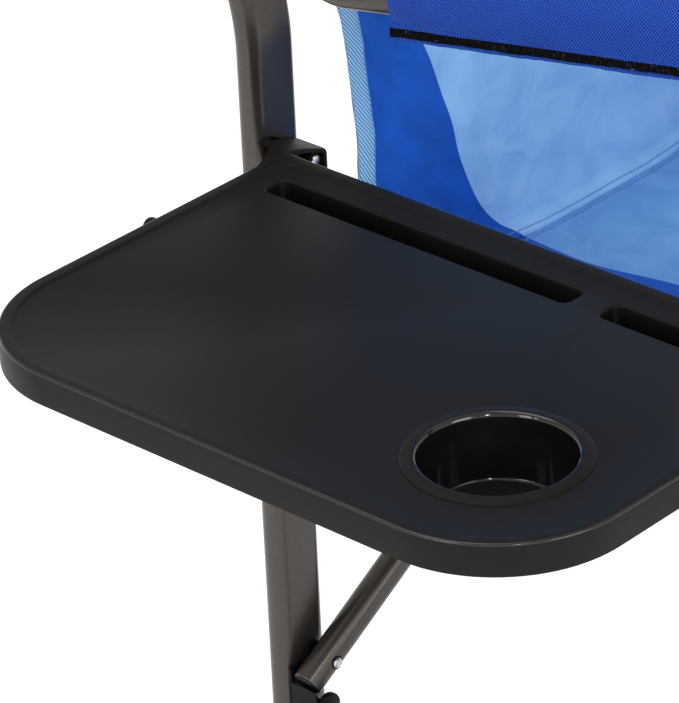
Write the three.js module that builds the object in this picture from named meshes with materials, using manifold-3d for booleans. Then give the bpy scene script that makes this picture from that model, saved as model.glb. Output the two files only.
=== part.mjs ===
// Folding director chair with a moulded fold-down side tray. Millimetres, +Z up.
// The sitter faces -Y; the tray is at the sitter's right, -X.
import * as THREE from 'three'
import Module from 'manifold-3d'

const wasm = await Module()
wasm.setup()

// ---- driving dimensions -------------------------------------------------
const POST_X = 266 // posts, half spacing across the chair
const POST_Y = 242 // posts, half spacing front to back
const OVAL = { wide: 38, deep: 19, wall: 1.6 } // flat-oval tube
const TOP_Z = 905 // top of the back posts
const FOOT = 14 // height of a foot cap
const BEND_Z = 572 // where the back post starts to lean
const LEAN = 14 // degrees
const LEAN_R = 143 // radius of that bend
const GAP = 0.35 // clearance between neighbouring solids

const TRAY = { x0: -568, x1: -284.8, halfY: 211, top: 520, thick: 20, wall: 3, lip: 8, sink: 1.5 }
const OUTER_CORNER = 81
const CUP = { x: -479, y: -122, r: 43, rFloor: 37, ring: 52, depth: 35 }
const SLOT = { x0: -327.5, x1: -309.5, depth: 16, spans: [[-41.3, 188.5], [-185.7, -63.7]] }
const HINGE = { x: -259, z: 505 } // tray hinge line, along Y

const LEG = { r: 10, wall: 1.4, yA: 220, yB: 197 } // scissor legs
const PIVOT = { x: 262, z: 150 } // lower scissor pivots
const SLOPE = 30.3 // degrees
const RAIL = { x: 191.5, z: 415, r: 9.5, halfY: 228 }
const ARM_LINE = { y0: 160, z0: 633.5, y1: -140, z1: 683 } // straight part of an arm tube
const ARM_FRONT_R = 70 // bend from front leg to arm
const ARM_REAR = { heading: 40, r: 45, straight: 38 } // upturned rear end of the arm
const SIDE_RAIL = { halfY: 209, z: 108 } // low rail between the posts of a side
const BLOCK = { face: 209.5, outer: 284, inner: 266.5, low: 92, r: 25.3, plate: 148 } // under a leg
const KNOB = { x: 275, z: 125.5, r: 9, out: { right: 5, left: 2 } } // round head on that block
const PIN = { x: -394, z: 512.5, r: 6.5, out: 8.2 } // head on the tray's edge, over the strut tip
const SEAT = { back: 208, front: -226, edge: 432.5, sag: 60, power: 2.6 } // seat cloth
const SLEEVE_HALF = 184 // half length of a seat sleeve
const CLOTH = 3 // thickness of the seat and back cloth
const BACK_SLEEVE_Z = [700, TOP_Z - 12]
const PAD = { y0: 120, y1: -150, half: 24.5, above: 25, below: 13 }
const FIN = { deep: 5, wide: 5 } // closed edge that hangs under the outer side of a pad
const STRUT = { x: -400, z: 511, footX: -262, footZ: 385, y: 188, r: 3.5, axleEnd: 227.5 }

const chair = new THREE.Group()
chair.name = 'director_chair'
const rad = THREE.MathUtils.degToRad

// ---- finishes -----------------------------------------------------------
const finish = (color, metalness, roughness) =>
  new THREE.MeshStandardMaterial({ color, metalness, roughness })
const frame = () => finish(0x67625d, 0.6, 0.45)
const plastic = () => finish(0x26272a, 0, 0.6)
const steel = () => finish(0xb9bbbd, 1, 0.3)
const royal = () => finish(0x174fb4, 0, 0.9)
const sky = () => finish(0x6296d7, 0, 0.9)

function add(name, geometry, material) {
  const mesh = new THREE.Mesh(geometry, material)
  mesh.name = name
  chair.add(mesh)
  return mesh
}

// ---- solids -------------------------------------------------------------
function solid(geometry) {
  const g = geometry.index ? geometry.toNonIndexed() : geometry
  const p = g.getAttribute('position')
  const seen = new Map()
  const vertices = []
  const triangles = new Uint32Array(p.count)
  for (let i = 0; i < p.count; i++) {
    const xyz = [p.getX(i), p.getY(i), p.getZ(i)]
    const key = xyz.map((v) => Math.round(v * 1e4)).join()
    if (!seen.has(key)) {
      seen.set(key, vertices.length / 3)
      vertices.push(...xyz)
    }
    triangles[i] = seen.get(key)
  }
  const mesh = new wasm.Mesh({
    numProp: 3, vertProperties: new Float32Array(vertices), triVerts: triangles
  })
  return new wasm.Manifold(mesh)
}

function geometryOf(manifold) {
  const mesh = manifold.getMesh()
  const g = new THREE.BufferGeometry()
  g.setAttribute('position', new THREE.BufferAttribute(new Float32Array(mesh.vertProperties), 3))
  g.setIndex(new THREE.BufferAttribute(new Uint32Array(mesh.triVerts), 1))
  const flat = g.toNonIndexed()
  flat.computeVertexNormals()
  return flat
}

function box(x0, x1, y0, y1, z0, z1) {
  const g = new THREE.BoxGeometry(x1 - x0, y1 - y0, z1 - z0)
  return g.translate((x0 + x1) / 2, (y0 + y1) / 2, (z0 + z1) / 2)
}

// A cylinder, or an open tube, between two points.
function rod(a, b, r, sides = 12, wall = 0) {
  const from = new THREE.Vector3(...a)
  const along = new THREE.Vector3(...b).sub(from)
  const shape = new THREE.Shape(ring(r, sides))
  if (wall) shape.holes.push(new THREE.Path(ring(r - wall, sides)))
  const g = new THREE.ExtrudeGeometry(shape, { depth: along.length(), bevelEnabled: false })
  const turn = new THREE.Quaternion().setFromUnitVectors(
    new THREE.Vector3(0, 0, 1), along.clone().normalize())
  return g.applyQuaternion(turn).translate(...a)
}

function ring(r, sides) {
  return Array.from({ length: sides }, (_, i) => {
    const a = (2 * Math.PI * (i + 0.5)) / sides
    return new THREE.Vector2(r * Math.cos(a), r * Math.sin(a))
  })
}

// Flat-oval outline: half sizes a and b, corner radius r, n facets a corner.
function oval(a, b, r, n = 3) {
  const points = []
  for (const [sx, sy, start] of [[1, 1, 0], [-1, 1, 90], [-1, -1, 180], [1, -1, 270]]) {
    for (let i = 0; i <= n; i++) {
      const t = rad(start + (90 * i) / n)
      points.push([sx * (a - r) + r * Math.cos(t), sy * (b - r) + r * Math.sin(t)])
    }
  }
  return points
}

// Sweep an outline (across, upright) along stations [y, z, heading] at one x.
// The heading is the tube's direction in degrees from +Z towards +Y.
function sweepSolid(x, stations, outline) {
  const rings = stations.map(([y, z, heading]) => {
    const h = rad(heading)
    return outline.map(([u, w]) => [x + u, y + w * Math.cos(h), z - w * Math.sin(h)])
  })
  const positions = []
  const face = (...points) => {
    for (let i = 1; i + 1 < points.length; i++) {
      positions.push(...points[0], ...points[i], ...points[i + 1])
    }
  }
  for (let i = 0; i + 1 < rings.length; i++) {
    outline.forEach((_, j) => {
      const k = (j + 1) % outline.length
      face(rings[i][j], rings[i][k], rings[i + 1][k], rings[i + 1][j])
    })
  }
  face(...rings[0].slice().reverse())
  face(...rings[rings.length - 1])
  const g = new THREE.BufferGeometry()
  g.setAttribute('position', new THREE.BufferAttribute(new Float32Array(positions), 3))
  return solid(g)
}

function sweep(x, stations, outer, bore) {
  const body = sweepSolid(x, stations, outer)
  if (!bore) return geometryOf(body)
  // The bore runs a little past both ends, so that they are open.
  const past = ([y, z, h], d) => [y + d * Math.sin(rad(h)), z + d * Math.cos(rad(h)), h]
  const last = stations[stations.length - 1]
  const path = [past(stations[0], -1), ...stations.slice(1, -1), past(last, 1)]
  return geometryOf(body.subtract(sweepSolid(x, path, bore)))
}

// A sheet of even thickness over a grid of middle points at(s, t), s and t 0..1.
function sheet(at, thick, ns, nt) {
  const point = (i, j) => new THREE.Vector3(...at(i / ns, j / nt))
  const normal = (i, j) => {
    const s = i / ns
    const t = j / nt
    const e = 1e-3
    const du = new THREE.Vector3(...at(s + e, t)).sub(new THREE.Vector3(...at(s - e, t)))
    const dv = new THREE.Vector3(...at(s, t + e)).sub(new THREE.Vector3(...at(s, t - e)))
    return du.cross(dv).normalize()
  }
  const side = (sign) => (i, j) =>
    point(i, j).addScaledVector(normal(i, j), (sign * thick) / 2).toArray()
  const front = side(1)
  const back = side(-1)
  const positions = []
  const quad = (a, b, c, d) => [a, b, c, a, c, d].forEach((p) => positions.push(...p))
  for (let i = 0; i < ns; i++) {
    for (let j = 0; j < nt; j++) {
      quad(front(i, j), front(i + 1, j), front(i + 1, j + 1), front(i, j + 1))
      quad(back(i, j), back(i, j + 1), back(i + 1, j + 1), back(i + 1, j))
    }
  }
  for (let i = 0; i < ns; i++) {
    quad(front(i, 0), back(i, 0), back(i + 1, 0), front(i + 1, 0))
    quad(front(i + 1, nt), back(i + 1, nt), back(i, nt), front(i, nt))
  }
  for (let j = 0; j < nt; j++) {
    quad(front(0, j + 1), back(0, j + 1), back(0, j), front(0, j))
    quad(front(ns, j), back(ns, j), back(ns, j + 1), front(ns, j + 1))
  }
  const g = new THREE.BufferGeometry()
  g.setAttribute('position', new THREE.BufferAttribute(new Float32Array(positions), 3))
  return geometryOf(solid(g))
}

function plate(points, y0, y1) {
  const shape = new THREE.Shape(points.map(([x, z]) => new THREE.Vector2(x, z)))
  const g = new THREE.ExtrudeGeometry(shape, { depth: y1 - y0, bevelEnabled: false })
  return g.rotateX(Math.PI / 2).translate(0, y1, 0)
}

// ---- side frames --------------------------------------------------------
const tubeOuter = oval(OVAL.wide / 2, OVAL.deep / 2, 8.2)
const tubeInner = oval(OVAL.wide / 2 - OVAL.wall, OVAL.deep / 2 - OVAL.wall, 6.8)

function bend(y, z, from, to, radius, steps) {
  // Stations round a bend that starts at (y, z) with heading from.
  const turn = Math.sign(to - from)
  const h0 = rad(from)
  const cy = y + turn * radius * Math.cos(h0)
  const cz = z - turn * radius * Math.sin(h0)
  return Array.from({ length: steps + 1 }, (_, i) => {
    const h = from + ((to - from) * i) / steps
    return [cy - turn * radius * Math.cos(rad(h)), cz + turn * radius * Math.sin(rad(h)), h]
  })
}

const leanBend = bend(POST_Y, BEND_Z, 0, LEAN, LEAN_R, 3)
const leanEnd = leanBend[leanBend.length - 1]
const backY = (z) => leanEnd[0] + (z - leanEnd[1]) * Math.tan(rad(LEAN))
const rearStations = [[POST_Y, FOOT + GAP, 0], ...leanBend, [backY(TOP_Z - 8), TOP_Z - 8, LEAN]]

const armHeading = THREE.MathUtils.radToDeg(
  Math.atan2(ARM_LINE.y0 - ARM_LINE.y1, ARM_LINE.z0 - ARM_LINE.z1))
function armStations() {
  // Up the front leg, round into the arm, back along it and up at its rear end.
  const r = ARM_FRONT_R
  const y = -POST_Y + r - r * Math.cos(rad(armHeading))
  const z = armZ(y) - r * Math.sin(rad(armHeading))
  const front = bend(-POST_Y, z, 0, armHeading, r, 6)
  const { heading, r: rearR, straight } = ARM_REAR
  const dip = bend(ARM_LINE.y0, ARM_LINE.z0, armHeading, heading, rearR, 5)
  const [ey, ez] = dip[dip.length - 1]
  const h = rad(heading)
  const end = [ey + straight * Math.sin(h), ez + straight * Math.cos(h), heading]
  return [[-POST_Y, FOOT + GAP, 0], ...front, ...dip, end]
}
const arm = armStations()
const armEnd = arm[arm.length - 1]
function armZ(y) {
  const slope = (ARM_LINE.z1 - ARM_LINE.z0) / (ARM_LINE.y0 - ARM_LINE.y1)
  return ARM_LINE.z0 + (ARM_LINE.y0 - y) * slope
}

function padOutline() {
  const w = PAD.half
  const top = PAD.above
  const low = -PAD.below
  return [
    [w, low + 4], [w, top - 14], [w - 4, top - 5], [w - 12, top], [-w + 12, top],
    [-w + 4, top - 5], [-w, top - 14], [-w, low + 4], [-w + 2, low], [w - 2, low]
  ]
}

// An arm's stations are swept rearward, where the outline's second direction points
// down, so a pad's outline is turned over first.
const along = (y) => [y, armZ(y), armHeading]
const flipped = (outline) => outline.map(([u, w]) => [u, -w]).reverse()

// Outline of the block under a scissor leg's lower end: its top is a cradle
// round the pivot, wide enough for the end to turn in.
function cradle(s) {
  const { outer, inner, low, r } = BLOCK
  const points = [[outer, low], [inner, low]]
  for (let a = 256; a >= 214; a -= 14) {
    points.push([PIVOT.x - r * Math.cos(rad(a)), PIVOT.z + r * Math.sin(rad(a))])
  }
  points.push([outer, points[points.length - 1][1]])
  const placed = points.map(([x, z]) => [s * x, z])
  return s > 0 ? placed.reverse() : placed
}

for (const [side, s] of [['right', -1], ['left', 1]]) {
  const x = s * POST_X
  add(`rear_post_${side}`, sweep(x, rearStations, tubeOuter, tubeInner), frame())
  add(`front_post_arm_${side}`, sweep(x, arm, tubeOuter, tubeInner), frame())
  const { halfY, z: railZ } = SIDE_RAIL
  add(`side_rail_${side}`, rod([x, -halfY, railZ], [x, halfY, railZ], RAIL.r, 12, LEG.wall), frame())
  const hollow = oval(OVAL.wide / 2 + GAP, OVAL.deep / 2 + GAP, 8.5)
  const padHole = flipped(hollow)
  add(`arm_pad_${side}`,
    sweep(x, [along(PAD.y1), along((PAD.y0 + PAD.y1) / 2), along(PAD.y0)],
      flipped(padOutline()), padHole), royal())
  add(`post_cap_${side}`,
    sweep(x, [[backY(TOP_Z - 7), TOP_Z - 7.2, LEAN], [backY(TOP_Z), TOP_Z, LEAN]],
      oval(19, 9.5, 8.2)), plastic())
  for (const [end, e] of [['rear', 1], ['front', -1]]) {
    add(`foot_cap_${end}_${side}`, sweep(x, [[e * POST_Y, 0, 0], [e * POST_Y, FOOT, 0]],
      oval(22, 12.5, 10)), plastic())
    const faces = [e * (POST_Y - OVAL.deep / 2 - GAP), e * BLOCK.face].sort((a, b) => a - b)
    // A plate behind the end of the leg rises higher than the cradle.
    const behind = [LEG.yA + LEG.r + 0.6, POST_Y - OVAL.deep / 2 - GAP].map((y) => e * y)
    const { outer, inner, plate: top } = BLOCK
    const ends = [s * inner, s * outer].sort((a, b) => a - b)
    const back = solid(box(...ends, ...behind.sort((a, b) => a - b), BLOCK.low, top))
    const block = solid(plate(cradle(s), ...faces)).add(back)
    const head = [KNOB.out[side], -0.4].map((d) => [s * KNOB.x, e * (BLOCK.face - d), KNOB.z])
    add(`pivot_block_${end}_${side}`, geometryOf(block.add(solid(rod(...head, KNOB.r, 14)))),
      plastic())
  }
  // Bracket between the rear end of the arm and the leaning back post.
  const tip = armEnd[0] + (OVAL.deep / 2) * Math.cos(rad(armEnd[2])) + 1
  add(`arm_bracket_${side}`,
    box(x - 15, x + 15, tip, backY(660) - 11, armEnd[1] - 20, armEnd[1] + 6), plastic())
  const underside = (y, drop) => new THREE.Vector2(y, armZ(y) - PAD.below - GAP - drop)
  const fin = new THREE.Shape([
    underside(PAD.y0 - 3, 0), underside(PAD.y1 + 3, 0),
    underside(PAD.y1 + 3, FIN.deep), underside(PAD.y0 - 3, FIN.deep)
  ])
  const strip = new THREE.ExtrudeGeometry(fin, { depth: FIN.wide, bevelEnabled: false })
  strip.rotateX(Math.PI / 2).rotateZ(Math.PI / 2)
  const edge = x + s * (PAD.half - 2) - (s > 0 ? FIN.wide : 0)
  add(`hook_strip_${side}`, strip.translate(edge, 0, 0), plastic())
}

// ---- scissor legs -------------------------------------------------------
const c = Math.cos(rad(SLOPE))
const sn = Math.sin(rad(SLOPE))
function leg(s, y) {
  // From 22 mm past the lower pivot on side s up to the rail on the other side.
  const tail = 22
  const reach = (RAIL.z - PIVOT.z) / sn - RAIL.r - 1
  const at = (d) => [s * (PIVOT.x - d * c), y, PIVOT.z + d * sn]
  return rod(at(-tail), at(reach), LEG.r, 14, LEG.wall)
}
const crossZ = PIVOT.z + PIVOT.x * Math.tan(rad(SLOPE))
for (const [end, e] of [['rear', 1], ['front', -1]]) {
  add(`leg_a_${end}`, leg(-1, e * LEG.yA), frame())
  add(`leg_b_${end}`, leg(1, e * LEG.yB), frame())
  const across = (x, z, y0, y1, r) => rod([x, e * y0, z], [x, e * y1, z], r, 12)
  add(`leg_rivet_a_${end}`, across(-PIVOT.x, PIVOT.z, 209.6, 207.8, 4.2), steel())
  add(`leg_rivet_b_${end}`, across(PIVOT.x, PIVOT.z, 186.6, 184.8, 4.2), steel())
  add(`cross_washer_${end}`, across(0, crossZ, 207.4, 209.6, 9), plastic())
  add(`cross_bolt_${end}`, across(0, crossZ, 186.6, 182.6, 6), steel())
}

// ---- seat ---------------------------------------------------------------
const sag = (x) => SEAT.edge - SEAT.sag * (1 - (Math.abs(x) / RAIL.x) ** SEAT.power)
for (const [side, s] of [['right', -1], ['left', 1]]) {
  const x = s * RAIL.x
  add(`seat_rail_${side}`,
    rod([x, -RAIL.halfY, RAIL.z], [x, RAIL.halfY, RAIL.z], RAIL.r, 14, LEG.wall), frame())
  add(`seat_sleeve_${side}`,
    rod([x, -SLEEVE_HALF, RAIL.z], [x, SLEEVE_HALF, RAIL.z], 12.3, 14, 2.4), royal())
}
add('seat_panel', sheet((s, t) => {
  const x = RAIL.x * (2 * s - 1)
  return [x, SEAT.front + (SEAT.back - SEAT.front) * t, sag(x)]
}, CLOTH, 18, 6), sky())

// ---- back ---------------------------------------------------------------
// Middle of the back cloth by height, seen from the side: it rises off the seat and
// leans back to the posts.
const backLine = [[380, 211], [430, 212], [500, 214], [570, 218], [630, 230], [690, backY(690) - 12]]
const backEdge = [
  [370, 196], [430, 203], [480, 217], [500, 218], [594, 232], [640, 240], [TOP_Z, 243]
]
function valueAt(line, z) {
  const i = Math.max(1, line.findIndex(([height]) => z <= height))
  const [[z0, v0], [z1, v1]] = [line[i - 1], line[i]]
  return v0 + ((v1 - v0) * (z - z0)) / (z1 - z0)
}
const clothY = (z) => (z > 690 ? backY(z) - 12 : valueAt(backLine, z))
add('back_panel', sheet((s, t) => {
  const u = 2 * s - 1
  const low = sag(u * RAIL.x) + 2
  const z = low + (BACK_SLEEVE_Z[1] - low) * t
  return [u * valueAt(backEdge, z), clothY(z), z]
}, CLOTH, 16, 16), sky())
for (const [side, s] of [['right', -1], ['left', 1]]) {
  const stations = BACK_SLEEVE_Z.map((z) => [backY(z), z, LEAN])
  add(`back_sleeve_${side}`,
    sweep(s * POST_X, stations, oval(22.2, 12.2, 10), oval(19.4, 9.9, 8.4)), royal())
}

// ---- tray ---------------------------------------------------------------
function trayOutline(inset) {
  const { x0, x1, halfY } = TRAY
  const points = []
  const r = OUTER_CORNER - inset
  const q = Math.max(2, 12 - inset)
  const [a, b, h] = [x0 + inset, x1 - inset, halfY - inset]
  const arc = (cx, cy, radius, from, steps) => {
    for (let i = 0; i <= steps; i++) {
      const t = rad(from + (90 * i) / steps)
      const p = [cx + radius * Math.cos(t), cy + radius * Math.sin(t)]
      points.push(new THREE.Vector2(...p))
    }
  }
  arc(b - q, h - q, q, 0, 3)
  arc(a + r, h - r, r, 90, 10)
  arc(a + r, -h + r, r, 180, 10)
  arc(b - q, -h + q, q, 270, 3)
  return new THREE.Shape(points)
}
function prism(shape, z0, z1) {
  const g = new THREE.ExtrudeGeometry(shape, { depth: z1 - z0, bevelEnabled: false })
  return solid(g.translate(0, 0, z0))
}
function slotShape([y0, y1], grow) {
  const shape = oval((SLOT.x1 - SLOT.x0) / 2 + grow, (y1 - y0) / 2 + grow, 5, 2)
  const [cx, cy] = [(SLOT.x0 + SLOT.x1) / 2, (y0 + y1) / 2]
  return new THREE.Shape(shape.map(([u, w]) => new THREE.Vector2(cx + u, cy + w)))
}
function cup(r0, r1, z0, z1) {
  // A cone from radius r0 at z0 up to r1 at z1.
  const g = new THREE.LatheGeometry([
    new THREE.Vector2(0, z0), new THREE.Vector2(r0, z0),
    new THREE.Vector2(r1, z1), new THREE.Vector2(0, z1)
  ], 32)
  return solid(g.rotateX(Math.PI / 2).translate(CUP.x, CUP.y, 0))
}
function ramp(e, face) {
  // Corner that runs from the tray's side edge out to the face of the post.
  const plan = [[-310, 209], [-310, 211], [-299, 217], [-288, 224], [-276, 232], [-276, 209]]
  const shape = new THREE.Shape(plan.map(([x, y]) =>
    new THREE.Vector2(x, e * Math.min(y, Math.abs(face)))))
  return prism(shape, TRAY.top - TRAY.thick, TRAY.top)
}
function ear(e) {
  // Hollow ear on the face of a post, with a foot that joins it to the tray.
  const face = e * (POST_Y - OVAL.deep / 2 - GAP - 0.1)
  const between = (a, b) => [a, b].sort((p, q) => p - q)
  const foot = solid(plate([[-300, 501], [-284, 501], [-284, 520], [-300, 520]],
    ...between(e * 198, face)))
  const shell = solid(plate([[-286, 500], [-268, 489], [-250.3, 489], [-250.3, 508],
    [-252, 510.5], [-280, 520], [-286, 520]], ...between(e * 208, face)))
  const hollow = solid(plate([[-276, 493], [-252.8, 493], [-252.8, 507], [-262, 511.5],
    [-276, 515.5]], ...between(e * 205, e * 228)))
  return foot.add(shell.subtract(hollow)).add(ramp(e, face))
}
{
  const { top, thick, wall, lip, sink } = TRAY
  let tray = prism(trayOutline(0), top - thick, top)
  tray = tray.subtract(prism(trayOutline(wall), top - thick - 1, top - sink - wall))
  tray = tray.add(cup(CUP.rFloor + 2.5, CUP.r + 2.5, top - CUP.depth - 2.5, top - 2.5))
  for (const span of SLOT.spans) {
    tray = tray.add(prism(slotShape(span, 2.2), top - SLOT.depth - 2.2, top - 2.5))
  }
  let field = prism(trayOutline(lip), top - sink, top + 1)
  field = field.subtract(cup(CUP.ring, CUP.ring, top - sink - 1, top + 2))
  tray = tray.subtract(field)
  tray = tray.subtract(cup(CUP.rFloor, CUP.r, top - CUP.depth, top + 0.01))
  for (const span of SLOT.spans) {
    tray = tray.subtract(prism(slotShape(span, 0), top - SLOT.depth, top + 1))
  }
  for (const e of [1, -1]) tray = tray.add(ear(e))
  add('tray', geometryOf(tray), plastic())
}
for (const [end, e] of [['rear', 1], ['front', -1]]) {
  const y = (a, b) => [[HINGE.x, e * a, HINGE.z - 2], [HINGE.x, e * b, HINGE.z - 2]]
  add(`tray_bolt_${end}`, rod(...y(220, 227.6), 4.5, 12), steel())
  const pin = [0.3, PIN.out].map((d) => [PIN.x, e * (TRAY.halfY + d), PIN.z])
  add(`strut_pin_${end}`, rod(...pin, PIN.r, 12), plastic())
}

// ---- tray strut ---------------------------------------------------------
// Two arms on an axle between the posts; their tips hold the tray up.
{
  const { x, z, footX, footZ, y, r, axleEnd } = STRUT
  const long = Math.hypot(footX - x, footZ - z)
  const start = (r + GAP) / long
  const foot = [footX + (x - footX) * start, footZ + (z - footZ) * start]
  for (const [end, e] of [['rear', 1], ['front', -1]]) {
    add(`strut_arm_${end}`, rod([foot[0], e * y, foot[1]], [x, e * y, z], r, 8), frame())
    const faces = [e * (axleEnd + GAP), e * (POST_Y - OVAL.deep / 2 - GAP)].sort((a, b) => a - b)
    add(`strut_bracket_${end}`, box(footX - 10, footX + 10, ...faces, footZ - 9, footZ + 9),
      plastic())
  }
  add('strut_axle', rod([footX, -axleEnd, footZ], [footX, axleEnd, footZ], r, 8), frame())
}

// ---- stand the chair on the origin --------------------------------------
const bounds = new THREE.Box3().setFromObject(chair)
const middle = bounds.getCenter(new THREE.Vector3())
chair.position.set(-middle.x, -middle.y, -bounds.min.z)

export default chair
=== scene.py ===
import math

import bmesh
import bpy
from mathutils import Matrix, Vector, noise


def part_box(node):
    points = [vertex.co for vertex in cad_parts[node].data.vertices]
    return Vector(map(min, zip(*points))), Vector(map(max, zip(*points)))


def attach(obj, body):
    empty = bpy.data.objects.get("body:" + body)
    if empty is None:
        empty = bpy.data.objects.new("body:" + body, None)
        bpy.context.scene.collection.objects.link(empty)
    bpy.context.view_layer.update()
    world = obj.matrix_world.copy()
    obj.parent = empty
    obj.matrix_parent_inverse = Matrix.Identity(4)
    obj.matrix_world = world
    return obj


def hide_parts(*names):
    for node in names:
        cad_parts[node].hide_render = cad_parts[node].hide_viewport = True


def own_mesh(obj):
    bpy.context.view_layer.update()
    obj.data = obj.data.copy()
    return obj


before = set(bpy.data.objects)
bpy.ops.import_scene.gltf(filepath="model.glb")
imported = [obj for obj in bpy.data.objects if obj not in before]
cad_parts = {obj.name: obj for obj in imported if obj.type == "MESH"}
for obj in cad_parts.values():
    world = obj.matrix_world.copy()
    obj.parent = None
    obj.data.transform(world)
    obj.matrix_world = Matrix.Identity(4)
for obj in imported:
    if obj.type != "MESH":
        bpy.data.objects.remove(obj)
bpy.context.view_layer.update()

# ---- places ---------------------------------------------------------------
# Lengths below are millimetres from the middle of the four posts, up from the floor.
# The sitter faces -Y and the tray is at -X. TO_ROW turns them into the row frame.


def middle(node):
    low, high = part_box(node)
    return (low + high) / 2


CENTRE = Vector((
    (middle("rear_post_right").x + middle("rear_post_left").x) / 2,
    middle("side_rail_right").y,
    0,
))
TO_ROW = Matrix.Translation(CENTRE) @ Matrix.Scale(0.001, 4)

POST_X, POST_Y = 266, 242
OVAL = (19, 9.5, 8.2)  # half width, half depth, corner radius of the flat-oval tube
TOP_Z = 905
FOOT_TOP = 14.4  # where the tubes start, inside the feet
BEND_Z, BEND_R, LEAN = 572, 143, 14  # the rear post's bend and its angle above it
TRAY = {"x0": -568, "x1": -284.8, "half_y": 211, "top": 520, "thick": 20, "lip": 8, "sink": 1.5}
CUP = {"x": -479, "y": -122, "r": 43, "ring": 52, "depth": 38.5}
SLOTS = [(-327.5, -309.5, -41.3, 188.5), (-327.5, -309.5, -185.7, -63.7)]  # x0, x1, y0, y1
SLOT_DEPTH = 16
HINGE = (-257.5, 503.2)  # x, z of the tray's hinge bolts
LEG_R, LEG_Y = 10, {"a": 220, "b": 197}
PIVOT = (262, 150)
SLOPE = math.radians(30.3)
RAIL = (191.5, 415, 9.5, 228)  # x, z, radius, half length
SIDE_RAIL = (108, 9.5, 209)  # z, radius, half length
BLOCK = {"face": 209.5, "outer": 283.7, "inner": 266.8, "low": 92, "r": 24.7}
BOLT_CAP = {"x": 275, "z": 125.5, "r": 9, "out": {"right": 5, "left": 2}}
SEAT = {"y0": -226, "y1": 208, "edge": 432.5, "sag": 60, "power": 2.6}
SEWN_SAG, SEWN_POWER = 52.5, 4  # the seat's edge at the back seam hangs flatter
SLEEVE_Z = 700  # lower end of the sleeves on the back posts
ARM = (160, 633.5, -140, 683)  # y, z at the rear and front end of the arm's straight part
PAD = {"y0": 120, "y1": -150, "half": 24.5, "above": 25, "below": 13}
PIN = {"x": -394, "z": 512.5, "r": 5.8, "out": 7}
STRUT = {"x": -400, "z": 511, "foot_x": -262, "foot_z": 385, "y": 188, "r": 3.5,
         "half": 227.5}
SIDES = (("right", -1), ("left", 1))
ENDS = (("rear", 1), ("front", -1))


# ---- materials ------------------------------------------------------------
def srgb(text):
    """Linear colour of an sRGB hex value."""
    parts = [int(text[i:i + 2], 16) / 255 for i in (0, 2, 4)]
    return [c / 12.92 if c <= 0.04045 else ((c + 0.055) / 1.055) ** 2.4 for c in parts] + [1]


def add_node(tree, kind, links=None, values=None, **settings):
    """A node with its settings, its socket values and its incoming links."""
    made = tree.nodes.new(kind)
    for key, value in settings.items():
        setattr(made, key, value)
    for key, value in (values or {}).items():
        made.inputs[key].default_value = value
    for key, source in (links or {}).items():
        tree.links.new(source, made.inputs[key])
    return made


def new_material(name, **shader):
    """A material with a Principled shader set to the given values."""
    material = bpy.data.materials.new(name)
    material.use_nodes = True
    tree = material.node_tree
    principled = tree.nodes["Principled BSDF"]
    for key, value in shader.items():
        principled.inputs[key.replace("_", " ")].default_value = value
    return material, tree, principled


def ramp(tree, source, stops):
    """Colour ramp over (position, hex) stops."""
    made = add_node(tree, "ShaderNodeValToRGB", {"Fac": source})
    line = made.color_ramp
    while len(line.elements) < len(stops):
        line.elements.new(0.5)
    for element, (at, colour) in zip(line.elements, stops):
        element.position = at
        element.color = srgb(colour)
    return made


def powder_coat():
    """Powder-coated steel tube: pewter grey, satin, with a faint orange peel and metal fleck."""
    material, tree, shader = new_material(
        "powder_coated_steel", Metallic=0.8, Roughness=0.3, Coat_Weight=0.15, Coat_Roughness=0.15)
    place = add_node(tree, "ShaderNodeTexCoord").outputs["Object"]
    fleck = add_node(tree, "ShaderNodeTexNoise", {"Vector": place},
                     {"Scale": 900, "Detail": 2, "Roughness": 0.6})
    cloud = add_node(tree, "ShaderNodeTexNoise", {"Vector": place}, {"Scale": 14, "Detail": 3})
    tone = ramp(tree, fleck.outputs["Fac"], [(0.3, "47423E"), (0.7, "514C47")])
    tree.links.new(tone.outputs["Color"], shader.inputs["Base Color"])
    rough = add_node(tree, "ShaderNodeMapRange", {"Value": cloud.outputs["Fac"]},
                     {"To Min": 0.26, "To Max": 0.36})
    tree.links.new(rough.outputs["Result"], shader.inputs["Roughness"])
    # Orange peel: dimples about 1.5 mm apart.
    peel = add_node(tree, "ShaderNodeTexNoise", {"Vector": place}, {"Scale": 650, "Detail": 1})
    bump = add_node(tree, "ShaderNodeBump", {"Height": peel.outputs["Fac"]},
                    {"Strength": 0.06, "Distance": 0.0003})
    tree.links.new(bump.outputs["Normal"], shader.inputs["Normal"])
    return material


def moulded(name, low, high, rough, grain_mm, depth, shine=0.12):
    """Injection-moulded plastic with a fine spark-eroded grain and slight tone drift."""
    material, tree, shader = new_material(
        name, Roughness=rough, IOR=1.49, Specular_IOR_Level=shine)
    place = add_node(tree, "ShaderNodeTexCoord").outputs["Object"]
    drift = add_node(tree, "ShaderNodeTexNoise", {"Vector": place}, {"Scale": 9, "Detail": 4})
    tone = ramp(tree, drift.outputs["Fac"], [(0.35, low), (0.7, high)])
    tree.links.new(tone.outputs["Color"], shader.inputs["Base Color"])
    spread = add_node(tree, "ShaderNodeMapRange", {"Value": drift.outputs["Fac"]},
                      {"To Min": rough - 0.05, "To Max": rough + 0.06})
    tree.links.new(spread.outputs["Result"], shader.inputs["Roughness"])
    grain = add_node(tree, "ShaderNodeTexNoise", {"Vector": place},
                     {"Scale": 1000 / grain_mm, "Detail": 3, "Roughness": 0.65})
    bump = add_node(tree, "ShaderNodeBump", {"Height": grain.outputs["Fac"]},
                    {"Strength": depth, "Distance": 0.0002})
    tree.links.new(bump.outputs["Normal"], shader.inputs["Normal"])
    return material


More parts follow.
